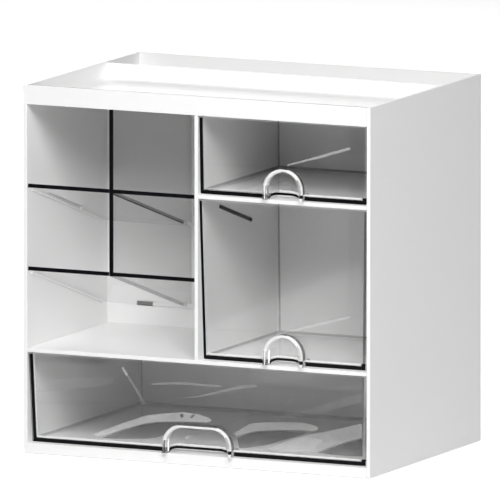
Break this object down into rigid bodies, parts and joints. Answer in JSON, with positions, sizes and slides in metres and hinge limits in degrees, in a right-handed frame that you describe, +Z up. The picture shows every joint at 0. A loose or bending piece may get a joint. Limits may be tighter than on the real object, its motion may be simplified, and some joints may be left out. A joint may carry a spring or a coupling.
{
  "type": "makeup organizer",
  "caption": "Desktop makeup organizer cabinet with an open top tray, tilted clear shelves with a clear divider, and clear pull-out drawers with arched handles.",
  "frame": {"origin": "centre of the bounding box on the ground plane, under the feet", "axes": "+X to the right seen from the front, +Y to the back, +Z up; the drawers pull out towards -Y"},
  "size_m": [0.29, 0.2046, 0.2828],
  "materials": {
    "white_panel": "satin moulded",
    "clear_sheet": "clear polished",
    "clear_drawer": "clear polished",
    "clear_handle": "clear polished",
    "foot_rubber": "soft matte"
  },
  "bodies": {
    "cabinet": {"left_side_panel": "white_panel", "right_side_panel": "white_panel", "rear_panel": "white_panel", "base_panel": "white_panel", "lower_deck": "white_panel", "inner_back_wall": "white_panel", "partition_wall": "white_panel", "drawer_shelf": "white_panel", "top_tray": "white_panel", "upper_tilted_shelf": "clear_sheet", "lower_tilted_shelf": "clear_sheet", "cell_divider": "clear_sheet", "foot_front_left": "foot_rubber", "foot_front_right": "foot_rubber", "foot_rear_left": "foot_rubber", "foot_rear_right": "foot_rubber"},
    "top_drawer": {"top_drawer_tray": "clear_drawer", "top_drawer_handle": "clear_handle"},
    "middle_drawer": {"middle_drawer_tray": "clear_drawer", "middle_drawer_handle": "clear_handle"},
    "bottom_drawer": {"bottom_drawer_tray": "clear_drawer", "bottom_drawer_handle": "clear_handle"}
  },
  "joints": [
    {"name": "top_drawer_slide", "type": "slide", "parent": "cabinet", "child": "top_drawer", "axis": [0, -1, 0], "range_m": [0, 0.11]},
    {"name": "middle_drawer_slide", "type": "slide", "parent": "cabinet", "child": "middle_drawer", "axis": [0, -1, 0], "range_m": [0, 0.11]},
    {"name": "bottom_drawer_slide", "type": "slide", "parent": "cabinet", "child": "bottom_drawer", "axis": [0, -1, 0], "range_m": [0, 0.155]}
  ]
}
